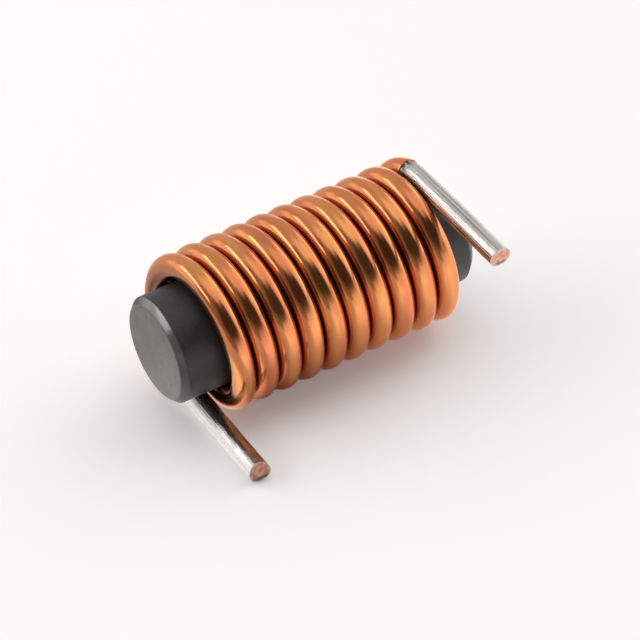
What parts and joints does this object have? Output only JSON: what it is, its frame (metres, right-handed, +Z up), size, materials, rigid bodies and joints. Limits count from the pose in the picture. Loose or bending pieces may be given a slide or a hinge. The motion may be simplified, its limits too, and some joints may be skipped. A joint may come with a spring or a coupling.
{
  "type": "rod core inductor",
  "caption": "Circuit board choke: stout enamelled copper wire wound close round a plain ferrite rod, its tinned wire ends leaving the winding to the same side as solder leads.",
  "frame": {"origin": "middle of the footprint, on the surface that the part lies on", "axes": "+X runs along the rod from the end with the low lead to the end with the high lead, -Y is the way both leads point, +Z is up as the part lies"},
  "size_m": [0.015, 0.0104, 0.0076],
  "materials": {
    "ferrite": "matt, ground dark grey ferrite",
    "enamelled_copper": "glossy clear enamel over copper, with tinned leads"
  },
  "bodies": {
    "root": {"ferrite_rod": "ferrite", "wire_winding": "enamelled_copper"}
  },
  "joints": []
}
